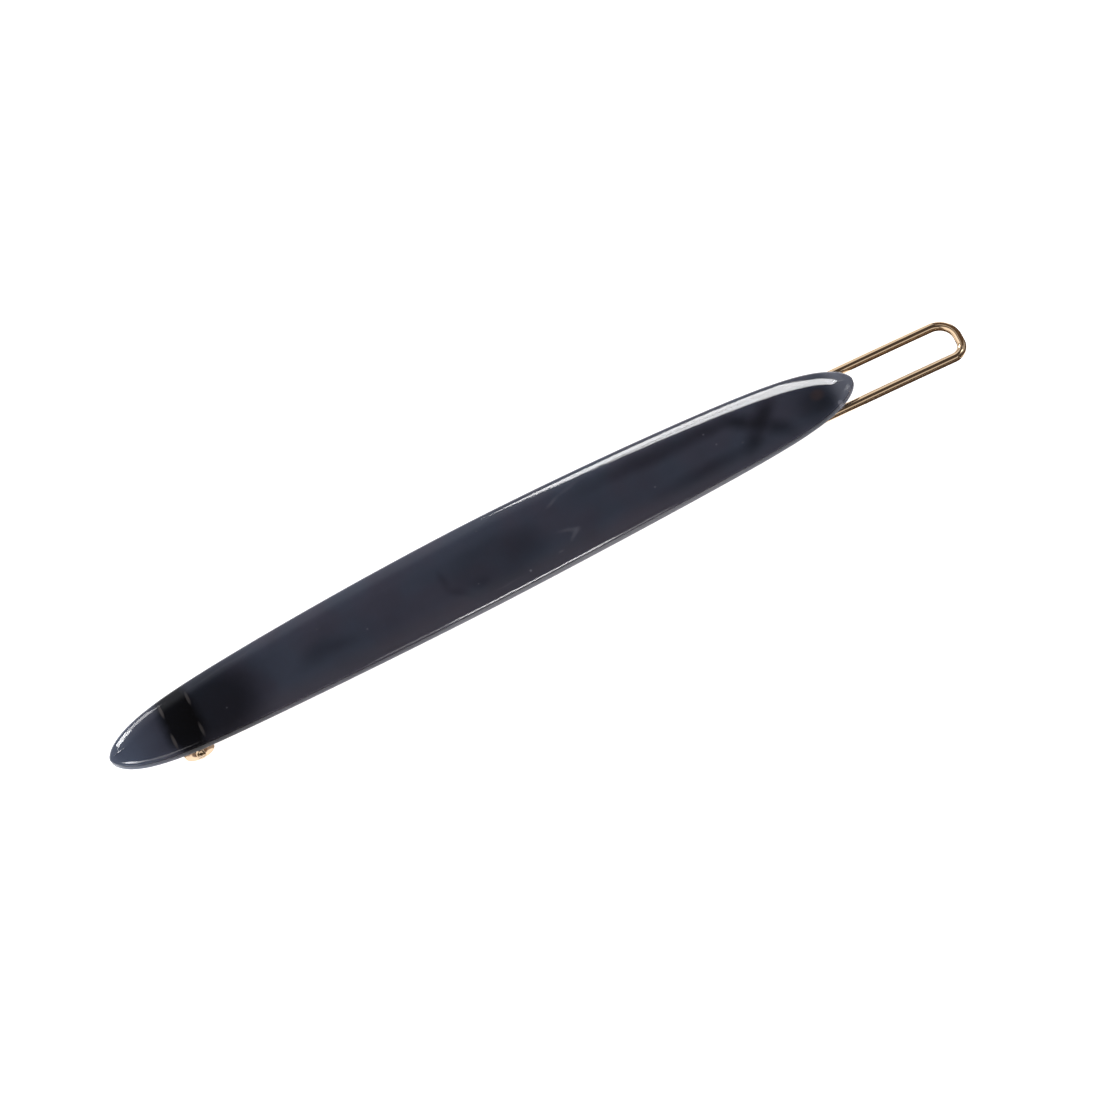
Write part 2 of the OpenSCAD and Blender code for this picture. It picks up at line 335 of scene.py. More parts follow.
# The dye itself: slate, with violet drifts and browner along the near edge; then painted
# light, lighter and bluer at both tips and lighter towards both long edges, where more
# light comes up through the acetate
across = add_node(tree, "ShaderNodeSeparateXYZ", {0: in_mm.outputs[0]})
violet_drift = add_node(
    tree,
    "ShaderNodeTexNoise",
    {"Vector": drifted.outputs[0], "Scale": 0.13, "Detail": 2.0, "Roughness": 0.5},
)
violet_share = add_node(
    tree,
    "ShaderNodeMapRange",
    {"Value": violet_drift.outputs["Fac"], 1: 0.38, 2: 0.62, 3: 0.0, 4: 1.0},
    interpolation_type="SMOOTHSTEP",
)
acetate_colour = add_node(
    tree,
    "ShaderNodeMix",
    {"Factor": violet_share.outputs[0], "A": linear("#737A8D"), "B": linear("#777586")},
    data_type="RGBA",
)
edge_brown = add_node(
    tree,
    "ShaderNodeMapRange",
    {"Value": across.outputs["Y"], 1: -2.6, 2: -5.4, 3: 0.0, 4: 0.6},
    interpolation_type="SMOOTHSTEP",
)
acetate_colour = add_node(
    tree,
    "ShaderNodeMix",
    {
        "Factor": edge_brown.outputs[0],
        "A": acetate_colour.outputs["Result"],
        "B": linear("#7F7478"),
    },
    data_type="RGBA",
)
for body_x, tip_x, tip_colour in TIP_LIGHT_TINTS:
    tip_light_share = add_node(
        tree,
        "ShaderNodeMapRange",
        {"Value": across.outputs["X"], 1: body_x - MIDDLE_X, 2: tip_x - MIDDLE_X, 3: 0.0, 4: 1.0},
        interpolation_type="SMOOTHSTEP",
    )
    acetate_colour = add_node(
        tree,
        "ShaderNodeMix",
        {
            "Factor": tip_light_share.outputs[0],
            "A": acetate_colour.outputs["Result"],
            "B": linear(tip_colour),
        },
        data_type="RGBA",
    )
# Painted light: lighter towards the long edges, away from the painted shade's axis
off_axis = add_node(
    tree, "ShaderNodeMath", {0: across.outputs["Y"], 1: -SHADE_AXIS_Y}, operation="ADD"
)
off_axis = add_node(tree, "ShaderNodeMath", {0: off_axis.outputs[0]}, operation="ABSOLUTE")
edge_light = add_node(
    tree,
    "ShaderNodeMapRange",
    {
        "Value": off_axis.outputs[0],
        1: EDGE_LIGHT_FROM,
        2: EDGE_LIGHT_TO,
        3: 1.0,
        4: EDGE_LIGHT_GAIN,
    },
)
shade_and_edge_light = add_node(
    tree, "ShaderNodeMath", {0: smoke_and_shade.outputs[0], 1: edge_light.outputs[0]}, operation="MULTIPLY"
)
acetate_colour = add_node(
    tree,
    "ShaderNodeVectorMath",
    {0: acetate_colour.outputs["Result"], "Scale": shade_and_edge_light.outputs[0]},
    operation="SCALE",
)
# Painted image of the ball's shank, a brown spot, seen through the acetate
painted_shank_spot = soft_spot(
    tree, in_mm.outputs[0], *BROWN_SPOT, 0, BROWN_CORE, BROWN_STRENGTH
)
acetate_colour = add_node(
    tree,
    "ShaderNodeMix",
    {"Factor": painted_shank_spot, "A": acetate_colour.outputs[0], "B": linear("#6C5957")},
    data_type="RGBA",
)
acetate_colour = add_node(
    tree,
    "ShaderNodeMix",
    {"Factor": wisps_and_glints, "A": acetate_colour.outputs["Result"], "B": linear("#F4F4FF")},
    data_type="RGBA",
    clamp_factor=True,
)

# Painted glints: a pale dash over each prong, for the metal's edges seen through the acetate
for x, y, half_length, depth in PRONG_GLINTS:
    prong_glint = soft_spot(
        tree,
        in_mm.outputs[0],
        x, y, PRONG_GLINT_HALF_WIDTH, half_length, 0, PRONG_GLINT_CORE, depth,
    )
    acetate_colour = add_node(
        tree,
        "ShaderNodeMix",
        {"Factor": prong_glint, "A": acetate_colour.outputs["Result"], "B": linear("#B8ACA0")},
        data_type="RGBA",
    )

# The pattern shows at the polished top and the wall; the satin underside is plain
satin = add_node(tree, "ShaderNodeAttribute", attribute_name="satin_side")
plain_share = add_node(
    tree,
    "ShaderNodeMapRange",
    {"Value": satin.outputs["Fac"], 1: 0.4, 2: 1.0, 3: 0.0, 4: 1.0},
)
face_colour = add_node(
    tree,
    "ShaderNodeMix",
    {
        "Factor": plain_share.outputs[0],
        "A": acetate_colour.outputs["Result"],
        "B": linear("#A4A8B4"),
    },
    data_type="RGBA",
)
polish_marks = add_node(
    tree,
    "ShaderNodeTexNoise",
    {"Vector": in_mm.outputs[0], "Scale": 0.8, "Detail": 3.0},
)
top_roughness = add_node(
    tree,
    "ShaderNodeMapRange",
    {"Value": polish_marks.outputs["Fac"], 3: 0.03, 4: 0.07},
)
roughness = add_node(
    tree,
    "ShaderNodeMix",
    {0: satin.outputs["Fac"], 2: top_roughness.outputs[0], 3: 0.9},
)
polish_waves = add_node(
    tree,
    "ShaderNodeBump",
    {"Height": polish_marks.outputs["Fac"], "Strength": 0.3, "Distance": 0.01 * MM},
)
polished = add_node(
    tree,
    "ShaderNodeBsdfPrincipled",
    {
        "Base Color": face_colour.outputs["Result"],
        "Roughness": roughness.outputs[0],
        "Normal": polish_waves.outputs[0],
        "IOR": ACETATE_IOR,
        "Transmission Weight": 0.9,
    },
)
dye = add_node(
    tree, "ShaderNodeVolumeAbsorption", {"Color": DYE_COLOUR, "Density": DYE_DENSITY}
)
add_node(
    tree,
    "ShaderNodeOutputMaterial",
    {"Surface": polished.outputs[0], "Volume": dye.outputs[0]},
)

leaf = bpy.data.node_groups.new("acetate_leaf", "GeometryNodeTree")
for name, kind in (
    ("Length", "NodeSocketFloat"),
    ("Width", "NodeSocketFloat"),
    ("Thickness", "NodeSocketFloat"),
    ("Arch Radius", "NodeSocketFloat"),
    ("Arch Centre", "NodeSocketFloat"),
    ("Top Edge Width", "NodeSocketFloat"),
    ("Top Edge Height", "NodeSocketFloat"),
    ("Lower Edge Radius", "NodeSocketFloat"),
    ("Belly Share", "NodeSocketFloat"),
    ("Belly Power", "NodeSocketFloat"),
    ("Tip Power", "NodeSocketFloat"),
    ("Tip Sharpness", "NodeSocketFloat"),
    ("Sheet", "NodeSocketMaterial"),
):
    leaf.interface.new_socket(name, in_out="INPUT", socket_type=kind)
leaf.interface.new_socket("Geometry", in_out="OUTPUT", socket_type="NodeSocketGeometry")

# Rows run from the top's middle line out over the upper slope, down the side, round
# the lower edge and in to the underside's middle line; columns run round the outline.
TOP_ROWS, SLOPE_ROWS, SIDE_ROWS, LOWER_ROWS, UNDER_ROWS = 8, 26, 3, 10, 8
OUTLINE_COLUMNS = 800
# The wall is partly satin and the underside fully, from 0 for gloss to 1 for satin
WALL_SATIN = 0.35
MERGE_GAP, SMALLEST_SHARE = 0.001, 0.00001
row_count = TOP_ROWS + SLOPE_ROWS + SIDE_ROWS + LOWER_ROWS + UNDER_ROWS

sizes = add_node(leaf, "NodeGroupInput").outputs
sheet_grid = add_node(
    leaf,
    "GeometryNodeMeshGrid",
    {"Size X": 1.0, "Size Y": 1.0, "Vertices X": OUTLINE_COLUMNS + 1, "Vertices Y": row_count + 1},
)
spot = add_node(
    leaf,
    "ShaderNodeSeparateXYZ",
    {0: add_node(leaf, "GeometryNodeInputPosition").outputs[0]},
)
turn = add_node(leaf, "ShaderNodeMath", {0: spot.outputs[0], 1: 2 * math.pi}, operation="MULTIPLY")
row = add_node(
    leaf, "ShaderNodeMapRange", {"Value": spot.outputs[1], 1: -0.5, 2: 0.5, 3: 0.0, 4: row_count}
)
stages, first_row = {}, 0
for stage, rows, low, high in (
    ("top", TOP_ROWS, 0.0, 1.0),
    ("slope", SLOPE_ROWS, math.pi / 2, 0.0),
    ("side", SIDE_ROWS, 0.0, 1.0),
    ("lower", LOWER_ROWS, 0.0, math.pi / 2),
    ("under", UNDER_ROWS, 1.0, 0.0),
):
    stages[stage] = add_node(
        leaf,
        "ShaderNodeMapRange",
        {"Value": row.outputs[0], 1: first_row, 2: first_row + rows, 3: low, 4: high},
    ).outputs[0]
    first_row += rows

# How far each row is drawn in from the outline, and how far down it lies
slope_cos = add_node(leaf, "ShaderNodeMath", {0: stages["slope"]}, operation="COSINE")
slope_in = add_node(leaf, "ShaderNodeMath", {0: 1.0, 1: slope_cos.outputs[0]}, operation="SUBTRACT")
lower_cos = add_node(leaf, "ShaderNodeMath", {0: stages["lower"]}, operation="COSINE")
lower_in = add_node(leaf, "ShaderNodeMath", {0: 1.0, 1: lower_cos.outputs[0]}, operation="SUBTRACT")
slope_inset = add_node(
    leaf, "ShaderNodeMath", {0: slope_in.outputs[0], 1: sizes["Top Edge Width"]}, operation="MULTIPLY"
)
inset = add_node(
    leaf,
    "ShaderNodeMath",
    {0: lower_in.outputs[0], 1: sizes["Lower Edge Radius"], 2: slope_inset.outputs[0]},
    operation="MULTIPLY_ADD",
)
slope_sin = add_node(leaf, "ShaderNodeMath", {0: stages["slope"]}, operation="SINE")
slope_down = add_node(
    leaf, "ShaderNodeMath", {0: 1.0, 1: slope_sin.outputs[0]}, operation="SUBTRACT"
)
lower_sin = add_node(leaf, "ShaderNodeMath", {0: stages["lower"]}, operation="SINE")
side_height = add_node(
    leaf, "ShaderNodeMath", {0: sizes["Thickness"], 1: sizes["Top Edge Height"]}, operation="SUBTRACT"
)
side_height = add_node(
    leaf,
    "ShaderNodeMath",
    {0: side_height.outputs[0], 1: sizes["Lower Edge Radius"]},
    operation="SUBTRACT",
)
drop = add_node(
    leaf,
    "ShaderNodeMath",
    {0: slope_down.outputs[0], 1: sizes["Top Edge Height"]},
    operation="MULTIPLY",
)
drop = add_node(
    leaf,
    "ShaderNodeMath",
    {0: stages["side"], 1: side_height.outputs[0], 2: drop.outputs[0]},
    operation="MULTIPLY_ADD",
)
drop = add_node(
    leaf,
    "ShaderNodeMath",
    {0: lower_sin.outputs[0], 1: sizes["Lower Edge Radius"], 2: drop.outputs[0]},
    operation="MULTIPLY_ADD",
)
height = add_node(
    leaf,
    "ShaderNodeMath",
    {0: sizes["Thickness"], 1: 0.5},
    operation="MULTIPLY",
)
height = add_node(
    leaf, "ShaderNodeMath", {0: height.outputs[0], 1: drop.outputs[0]}, operation="SUBTRACT"
)

# The outline: a long belly curve that a high power closes at the tips
turn_cos = add_node(leaf, "ShaderNodeMath", {0: turn.outputs[0]}, operation="COSINE")
turn_sin = add_node(leaf, "ShaderNodeMath", {0: turn.outputs[0]}, operation="SINE")
left_or_right = add_node(leaf, "ShaderNodeMath", {0: turn_cos.outputs[0]}, operation="SIGN")
reach = add_node(leaf, "ShaderNodeMath", {0: turn_cos.outputs[0]}, operation="ABSOLUTE")
tip_share = add_node(
    leaf, "ShaderNodeMath", {0: 1.0, 1: sizes["Belly Share"]}, operation="SUBTRACT"
)
taper, steepness = 0.0, 0.0
for part, power in (
    (sizes["Belly Share"], sizes["Belly Power"]),
    (tip_share.outputs[0], sizes["Tip Power"]),
):
    raised = add_node(leaf, "ShaderNodeMath", {0: reach.outputs[0], 1: power}, operation="POWER")
    taper = add_node(
        leaf, "ShaderNodeMath", {0: raised.outputs[0], 1: part, 2: taper}, operation="MULTIPLY_ADD"
    ).outputs[0]
    one_less = add_node(leaf, "ShaderNodeMath", {0: power, 1: 1.0}, operation="SUBTRACT")
    raised = add_node(
        leaf, "ShaderNodeMath", {0: reach.outputs[0], 1: one_less.outputs[0]}, operation="POWER"
    )
    part_power = add_node(leaf, "ShaderNodeMath", {0: part, 1: power}, operation="MULTIPLY")
    steepness = add_node(
        leaf,
        "ShaderNodeMath",
        {0: raised.outputs[0], 1: part_power.outputs[0], 2: steepness},
        operation="MULTIPLY_ADD",
    ).outputs[0]
kept = add_node(leaf, "ShaderNodeMath", {0: 1.0, 1: taper}, operation="SUBTRACT")
kept = add_node(
    leaf, "ShaderNodeMath", {0: kept.outputs[0], 1: SMALLEST_SHARE}, operation="MAXIMUM"
)
share = add_node(
    leaf, "ShaderNodeMath", {0: kept.outputs[0], 1: sizes["Tip Sharpness"]}, operation="POWER"
)

# How steeply the outline runs in towards the tip, so that each row is drawn in by the
# same distance all round, and the rows of the two edges meet in a soft ridge at the tips
outline_slope = add_node(
    leaf, "ShaderNodeMath", {0: share.outputs[0], 1: kept.outputs[0]}, operation="DIVIDE"
)
for factor in (steepness, sizes["Tip Sharpness"], sizes["Width"]):
    outline_slope = add_node(
        leaf, "ShaderNodeMath", {0: outline_slope.outputs[0], 1: factor}, operation="MULTIPLY"
    )
outline_slope = add_node(
    leaf, "ShaderNodeMath", {0: outline_slope.outputs[0], 1: sizes["Length"]}, operation="DIVIDE"
)
slope_length = add_node(
    leaf,
    "ShaderNodeMath",
    {0: outline_slope.outputs[0], 1: outline_slope.outputs[0], 2: 1.0},
    operation="MULTIPLY_ADD",
)
slope_length = add_node(leaf, "ShaderNodeMath", {0: slope_length.outputs[0]}, operation="SQRT")
inset_across = add_node(
    leaf, "ShaderNodeMath", {0: inset.outputs[0], 1: slope_length.outputs[0]}, operation="DIVIDE"
)
inset_along = add_node(
    leaf, "ShaderNodeMath", {0: inset_across.outputs[0], 1: outline_slope.outputs[0]}, operation="MULTIPLY"
)
half_long = add_node(leaf, "ShaderNodeMath", {0: sizes["Length"], 1: 0.5}, operation="MULTIPLY")
along = add_node(
    leaf, "ShaderNodeMath", {0: half_long.outputs[0], 1: reach.outputs[0]}, operation="MULTIPLY"
)
along = add_node(
    leaf, "ShaderNodeMath", {0: along.outputs[0], 1: inset_along.outputs[0]}, operation="SUBTRACT"
)
row_end = add_node(
    leaf, "ShaderNodeMath", {0: half_long.outputs[0], 1: inset.outputs[0]}, operation="SUBTRACT"
)
along = add_node(
    leaf, "ShaderNodeMath", {0: along.outputs[0], 1: row_end.outputs[0]}, operation="MINIMUM"
)
flat_x = add_node(
    leaf, "ShaderNodeMath", {0: along.outputs[0], 1: left_or_right.outputs[0]}, operation="MULTIPLY"
)
RIDGE_SOFTNESS = 0.12
half_wide = add_node(leaf, "ShaderNodeMath", {0: sizes["Width"], 1: 0.5}, operation="MULTIPLY")
half_wide = add_node(
    leaf, "ShaderNodeMath", {0: half_wide.outputs[0], 1: share.outputs[0]}, operation="MULTIPLY"
)
half_wide = add_node(
    leaf, "ShaderNodeMath", {0: half_wide.outputs[0], 1: inset_across.outputs[0]}, operation="SUBTRACT"
)
ridge = add_node(
    leaf, "ShaderNodeMath", {0: inset.outputs[0], 1: RIDGE_SOFTNESS}, operation="MULTIPLY"
)
ridge = add_node(
    leaf, "ShaderNodeMath", {0: ridge.outputs[0], 1: ridge.outputs[0]}, operation="MULTIPLY"
)
softened = add_node(
    leaf,
    "ShaderNodeMath",
    {0: half_wide.outputs[0], 1: half_wide.outputs[0], 2: ridge.outputs[0]},
    operation="MULTIPLY_ADD",
)
softened = add_node(leaf, "ShaderNodeMath", {0: softened.outputs[0]}, operation="SQRT")
softened = add_node(
    leaf, "ShaderNodeMath", {0: softened.outputs[0], 1: half_wide.outputs[0]}, operation="ADD"
)
far_or_near = add_node(
    leaf, "ShaderNodeMapRange", {"Value": turn_sin.outputs[0], 1: -0.0001, 2: 0.0001, 3: -1.0, 4: 1.0}
)
across = add_node(leaf, "ShaderNodeMath", {0: softened.outputs[0], 1: 0.5}, operation="MULTIPLY")
for factor in (far_or_near.outputs[0], stages["top"], stages["under"]):
    across = add_node(
        leaf, "ShaderNodeMath", {0: across.outputs[0], 1: factor}, operation="MULTIPLY"
    )

# The sheet bent to its arch: a part of a cylinder that lies across the plate
bend_sin = add_node(
    leaf, "ShaderNodeMath", {0: flat_x.outputs[0], 1: sizes["Arch Radius"]}, operation="DIVIDE"
)
bend = add_node(leaf, "ShaderNodeMath", {0: bend_sin.outputs[0]}, operation="ARCSINE")
bend_cos = add_node(leaf, "ShaderNodeMath", {0: bend.outputs[0]}, operation="COSINE")
bend_reach = add_node(
    leaf, "ShaderNodeMath", {0: sizes["Arch Radius"], 1: height.outputs[0]}, operation="ADD"
)
from_middle = add_node(
    leaf, "ShaderNodeMath", {0: bend_reach.outputs[0], 1: bend_sin.outputs[0]}, operation="MULTIPLY"
)
half_again = add_node(
    leaf,
    "ShaderNodeMath",
    {0: sizes["Length"], 1: 0.5, 2: from_middle.outputs[0]},
    operation="MULTIPLY_ADD",
)
risen = add_node(
    leaf,
    "ShaderNodeMath",
    {0: bend_reach.outputs[0], 1: bend_cos.outputs[0], 2: sizes["Arch Centre"]},
    operation="MULTIPLY_ADD",
)
bent = add_node(
    leaf,
    "ShaderNodeCombineXYZ",
    {0: half_again.outputs[0], 1: across.outputs[0], 2: risen.outputs[0]},
)
wall_row = TOP_ROWS + SLOPE_ROWS
wall_satin = add_node(
    leaf,
    "ShaderNodeMapRange",
    {"Value": row.outputs[0], 1: wall_row - 1, 2: wall_row + 0.5, 3: 0.0, 4: WALL_SATIN},
)
under_satin = add_node(
    leaf,
    "ShaderNodeMapRange",
    {
        "Value": row.outputs[0],
        1: wall_row + SIDE_ROWS + LOWER_ROWS / 2,
        2: wall_row + SIDE_ROWS + LOWER_ROWS,
        3: 0.0,
        4: 1.0 - WALL_SATIN,
    },
)
satin_rows = add_node(
    leaf, "ShaderNodeMath", {0: wall_satin.outputs[0], 1: under_satin.outputs[0]}, operation="ADD"
)
marked = add_node(
    leaf,
    "GeometryNodeStoreNamedAttribute",
    {"Geometry": sheet_grid.outputs["Mesh"], "Name": "satin_side", "Value": satin_rows.outputs[0]},
    data_type="FLOAT",
    domain="POINT",
)
formed = add_node(
    leaf, "GeometryNodeSetPosition", {"Geometry": marked.outputs[0], "Position": bent.outputs[0]}
)
closed = add_node(
    leaf, "GeometryNodeMergeByDistance", {"Geometry": formed.outputs[0], "Distance": MERGE_GAP}
)
outward = add_node(leaf, "GeometryNodeFlipFaces", {"Mesh": closed.outputs[0]})
smooth = add_node(
    leaf, "GeometryNodeSetShadeSmooth", {"Geometry": outward.outputs[0], "Shade Smooth": True}
)
real = add_node(leaf, "GeometryNodeRealizeInstances", {"Geometry": smooth.outputs[0]})
painted = add_node(
    leaf, "GeometryNodeSetMaterial", {"Geometry": real.outputs[0], "Material": sizes["Sheet"]}
)
add_node(leaf, "NodeGroupOutput", {"Geometry": painted.outputs[0]})

plate = make_piece(
    leaf,
    {
        "Length": PLATE_LENGTH,
        "Width": PLATE_WIDTH,
        "Thickness": PLATE_THICKNESS,
        "Arch Radius": arch_radius,
        "Arch Centre": arch_centre_z,
        "Top Edge Width": TOP_EDGE_WIDTH,
        "Top Edge Height": TOP_EDGE_HEIGHT,
        "Lower Edge Radius": LOWER_EDGE_RADIUS,
        "Belly Share": BELLY_SHARE,
        "Belly Power": BELLY_POWER,
        "Tip Power": TIP_POWER,
        "Tip Sharpness": TIP_SHARPNESS,
        "Sheet": acetate,
    },
    "acetate_plate",
)
plate.data.transform(laid)
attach(plate, "clip")
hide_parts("plate")


# Wire loop: one length of 1.2 mm spring wire, bent to a long U whose two arms are
# arched rather more than the plate. Each arm ends in a short pin, bent outwards, which turns in an
# ear of the hinge bracket, and the round end stands out past the plate as a handle.
WIRE_DIAMETER = 1.2
ARM_SPACING = 5.36
LOOP_ARCH_RADIUS = 620.0
HANDLE_FAR_RADIUS, HANDLE_NEAR_RADIUS = 2.75, 1.7
PIN_BEND_RADIUS = 0.7
PIN_END_Y = 4.64
PIN_DOME = 0.25
CLASP_OFFSET = 0.32
DOME_STEPS, PIN_BEND_STEPS, ARM_STEPS = 8, 12, 120
FAR_CORNER_STEPS, NEAR_CORNER_STEPS = 24, 16
THINNEST_SHARE = 0.04
HINGE_X, HINGE_DROP = 10.65, 1.85
BALL_X, BALL_DROP, CATCH_GAP = 102.0, 2.15, 0.25

# Gold plate on spring wire, drawn, bent and polished. It mirrors the room in thin light
# and brown lines along each arm, with faint draw lines and slightly uneven wear.
gold = bpy.data.materials.new("gold_plated_wire_polished")
gold.use_nodes = True
tree = gold.node_tree
tree.nodes.clear()
place = add_node(tree, "ShaderNodeTexCoord")
in_mm = add_node(
    tree, "ShaderNodeVectorMath", {0: place.outputs["Object"], "Scale": 1 / MM}, operation="SCALE"
)
drawn = add_node(
    tree,
    "ShaderNodeVectorMath",
    {0: in_mm.outputs[0], 1: (0.4, 9.0, 9.0)},
    operation="MULTIPLY",
)
draw_lines = add_node(
    tree, "ShaderNodeTexNoise", {"Vector": drawn.outputs[0], "Scale": 1.0, "Detail": 3.0}
)
scuffs = add_node(
    tree, "ShaderNodeTexNoise", {"Vector": in_mm.outputs[0], "Scale": 1.6, "Detail": 4.0}
)
gold_colour = add_node(
    tree,
    "ShaderNodeMix",
    {"Factor": scuffs.outputs["Fac"], "A": linear("#E6CAAA"), "B": linear("#DCBF9C")},
    data_type="RGBA",
)
gold_roughness = add_node(
    tree,
    "ShaderNodeMapRange",
    {"Value": draw_lines.outputs["Fac"], 1: 0.3, 2: 0.7, 3: 0.04, 4: 0.09},
)
gold_bump = add_node(
    tree,
    "ShaderNodeBump",
    {"Height": draw_lines.outputs["Fac"], "Strength": 0.1, "Distance": 0.01 * MM},
)
plated = add_node(
    tree,
    "ShaderNodeBsdfPrincipled",
    {
        "Base Color": gold_colour.outputs["Result"],
        "Roughness": gold_roughness.outputs[0],
        "Normal": gold_bump.outputs[0],
        "Metallic": 1.0,
    },
)
add_node(tree, "ShaderNodeOutputMaterial", {"Surface": plated.outputs[0]})

hinge = Vector((
    HINGE_X - HINGE_DROP * math.sin(plate_dip(HINGE_X)),
    underside_z(HINGE_X) - HINGE_DROP * math.cos(plate_dip(HINGE_X)),
))
catch = Vector((BALL_X, underside_z(BALL_X) - CATCH_GAP - WIRE_DIAMETER / 2))
chord = catch - hinge
centre_run = math.sqrt(LOOP_ARCH_RADIUS**2 - (chord.length / 2) ** 2)
arch_middle = (hinge + catch) / 2 + centre_run * Vector((chord.y, -chord.x)) / chord.length
loop_end_x = CLIP_LENGTH - HANDLE_FAR_RADIUS - WIRE_DIAMETER / 2
first_angle = math.acos((hinge.x - arch_middle.x) / LOOP_ARCH_RADIUS)
first_angle -= PIN_BEND_RADIUS / LOOP_ARCH_RADIUS
last_angle = math.acos((loop_end_x - arch_middle.x) / LOOP_ARCH_RADIUS)


def on_arch(angle, forward=0.0, side=0.0):
    """A point at this angle of the loop's arch, moved forward along it and to the side."""
    return Vector((
        arch_middle.x + LOOP_ARCH_RADIUS * math.cos(angle) + forward * math.sin(angle),
        CLASP_OFFSET + side,
        arch_middle.y + LOOP_ARCH_RADIUS * math.sin(angle) - forward * math.cos(angle),
    ))


# The wire's centre line from the far pin round the handle to the near pin, with the
# wire's share of its full thickness at each point, less than 1 only at the pins' domes
HALF_SPACING = ARM_SPACING / 2
PIN_START_Y = HALF_SPACING + PIN_BEND_RADIUS


def arm_path(side):
    """One pin, its bend and its arm, on the far side for side 1 and the near one for -1."""
    points = []
    for i in range(DOME_STEPS + 1):
        angle = math.pi / 2 * i / DOME_STEPS
        y = PIN_END_Y - PIN_DOME * (1 - math.sin(angle))
        share = max(math.sin(angle), THINNEST_SHARE)
        points.append((on_arch(first_angle, -PIN_BEND_RADIUS, side * y), share))
    for i in range(PIN_BEND_STEPS + 1):
        angle = math.pi / 2 * i / PIN_BEND_STEPS
        forward = -PIN_BEND_RADIUS * math.cos(angle)
        y = PIN_START_Y - PIN_BEND_RADIUS * math.sin(angle)
        points.append((on_arch(first_angle, forward, side * y), 1.0))
    for i in range(1, ARM_STEPS + 1):
        angle = first_angle + (last_angle - first_angle) * i / ARM_STEPS
        points.append((on_arch(angle, 0, side * HALF_SPACING), 1.0))
    return points


handle_path = []
for i in range(1, FAR_CORNER_STEPS + 1):
    angle = math.pi / 2 * i / FAR_CORNER_STEPS
    forward = HANDLE_FAR_RADIUS * math.sin(angle)
    y = HALF_SPACING - HANDLE_FAR_RADIUS * (1 - math.cos(angle))
    handle_path.append((on_arch(last_angle, forward, y), 1.0))
for i in range(NEAR_CORNER_STEPS + 1):
    angle = math.pi / 2 * (1 - i / NEAR_CORNER_STEPS)
    forward = HANDLE_FAR_RADIUS - HANDLE_NEAR_RADIUS * (1 - math.sin(angle))
    y = HALF_SPACING - HANDLE_NEAR_RADIUS * (1 - math.cos(angle))
    handle_path.append((on_arch(last_angle, forward, -y), 1.0))
wire_path = arm_path(1) + handle_path + arm_path(-1)[::-1]

path_mesh = bpy.data.meshes.new("wire_path")
path_mesh.from_pydata(
    [p for p, w in wire_path], [(i, i + 1) for i in range(len(wire_path) - 1)], []
)
thickness_share = path_mesh.attributes.new("wire_share", "FLOAT", "POINT")
thickness_share.data.foreach_set("value", [w for p, w in wire_path])

bending = bpy.data.node_groups.new("bent_wire", "GeometryNodeTree")
bending.interface.new_socket("Path", in_out="INPUT", socket_type="NodeSocketGeometry")
bending.interface.new_socket("Wire Diameter", in_out="INPUT", socket_type="NodeSocketFloat")
bending.interface.new_socket("Sides", in_out="INPUT", socket_type="NodeSocketInt")
bending.interface.new_socket("Plating", in_out="INPUT", socket_type="NodeSocketMaterial")
bending.interface.new_socket("Geometry", in_out="OUTPUT", socket_type="NodeSocketGeometry")
sizes = add_node(bending, "NodeGroupInput").outputs
wire_line = add_node(bending, "GeometryNodeMeshToCurve", {"Mesh": sizes["Path"]})
wire_share = add_node(
    bending, "GeometryNodeInputNamedAttribute", {"Name": "wire_share"}, data_type="FLOAT"
)
tapered = add_node(
    bending,
    "GeometryNodeSetCurveRadius",
    {"Curve": wire_line.outputs[0], "Radius": wire_share.outputs["Attribute"]},
)
wire_radius = add_node(
    bending, "ShaderNodeMath", {0: sizes["Wire Diameter"], 1: 0.5}, operation="MULTIPLY"
)
round_die = add_node(
    bending,
    "GeometryNodeCurvePrimitiveCircle",
    {"Resolution": sizes["Sides"], "Radius": wire_radius.outputs[0]},
)
swept = add_node(
    bending,
    "GeometryNodeCurveToMesh",
    {
        "Curve": tapered.outputs[0],
        "Profile Curve": round_die.outputs[0],
        "Scale": wire_share.outputs["Attribute"],
        "Fill Caps": True,
    },
)
smooth = add_node(
    bending, "GeometryNodeSetShadeSmooth", {"Geometry": swept.outputs[0], "Shade Smooth": True}
)
real = add_node(bending, "GeometryNodeRealizeInstances", {"Geometry": smooth.outputs[0]})
painted = add_node(
    bending, "GeometryNodeSetMaterial", {"Geometry": real.outputs[0], "Material": sizes["Plating"]}
)
add_node(bending, "NodeGroupOutput", {"Geometry": painted.outputs[0]})
wire_loop = make_piece(
    bending,
    {"Wire Diameter": WIRE_DIAMETER, "Sides": 40, "Plating": gold},
    "gold_wire_loop",
    path_mesh,
)
wire_loop.data.transform(laid)
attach(wire_loop, "loop")
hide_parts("wire_loop")
# Its soft dark shape through the acetate is painted shade in the acetate's colour
wire_loop.visible_transmission = False


# Hinge bracket: a strip of 0.4 mm brass sheet, stamped and folded to a shallow channel.
# Its four prongs are pressed hot into the acetate, and its two round ears hold the
# loop's pins. The stamped edges are tumbled until they are slightly round.
EDGE_ROUNDING = 0.07
CRISP_ANGLE, SHARP_ANGLE = math.radians(35), math.radians(32)
RING_CLEAN_RADIUS, RING_BROWN_RADIUS = 1.25, 1.0
# The fold turns brown from one height above the pin to the other, in mm, raised by the
# streaks and by the distance towards the handle
FOLD_CLEAN, FOLD_BROWN, FOLD_STRENGTH = 0.45, 0.8, 0.85
STREAK_HEIGHT, FOLD_TILT = 1.6, 0.3

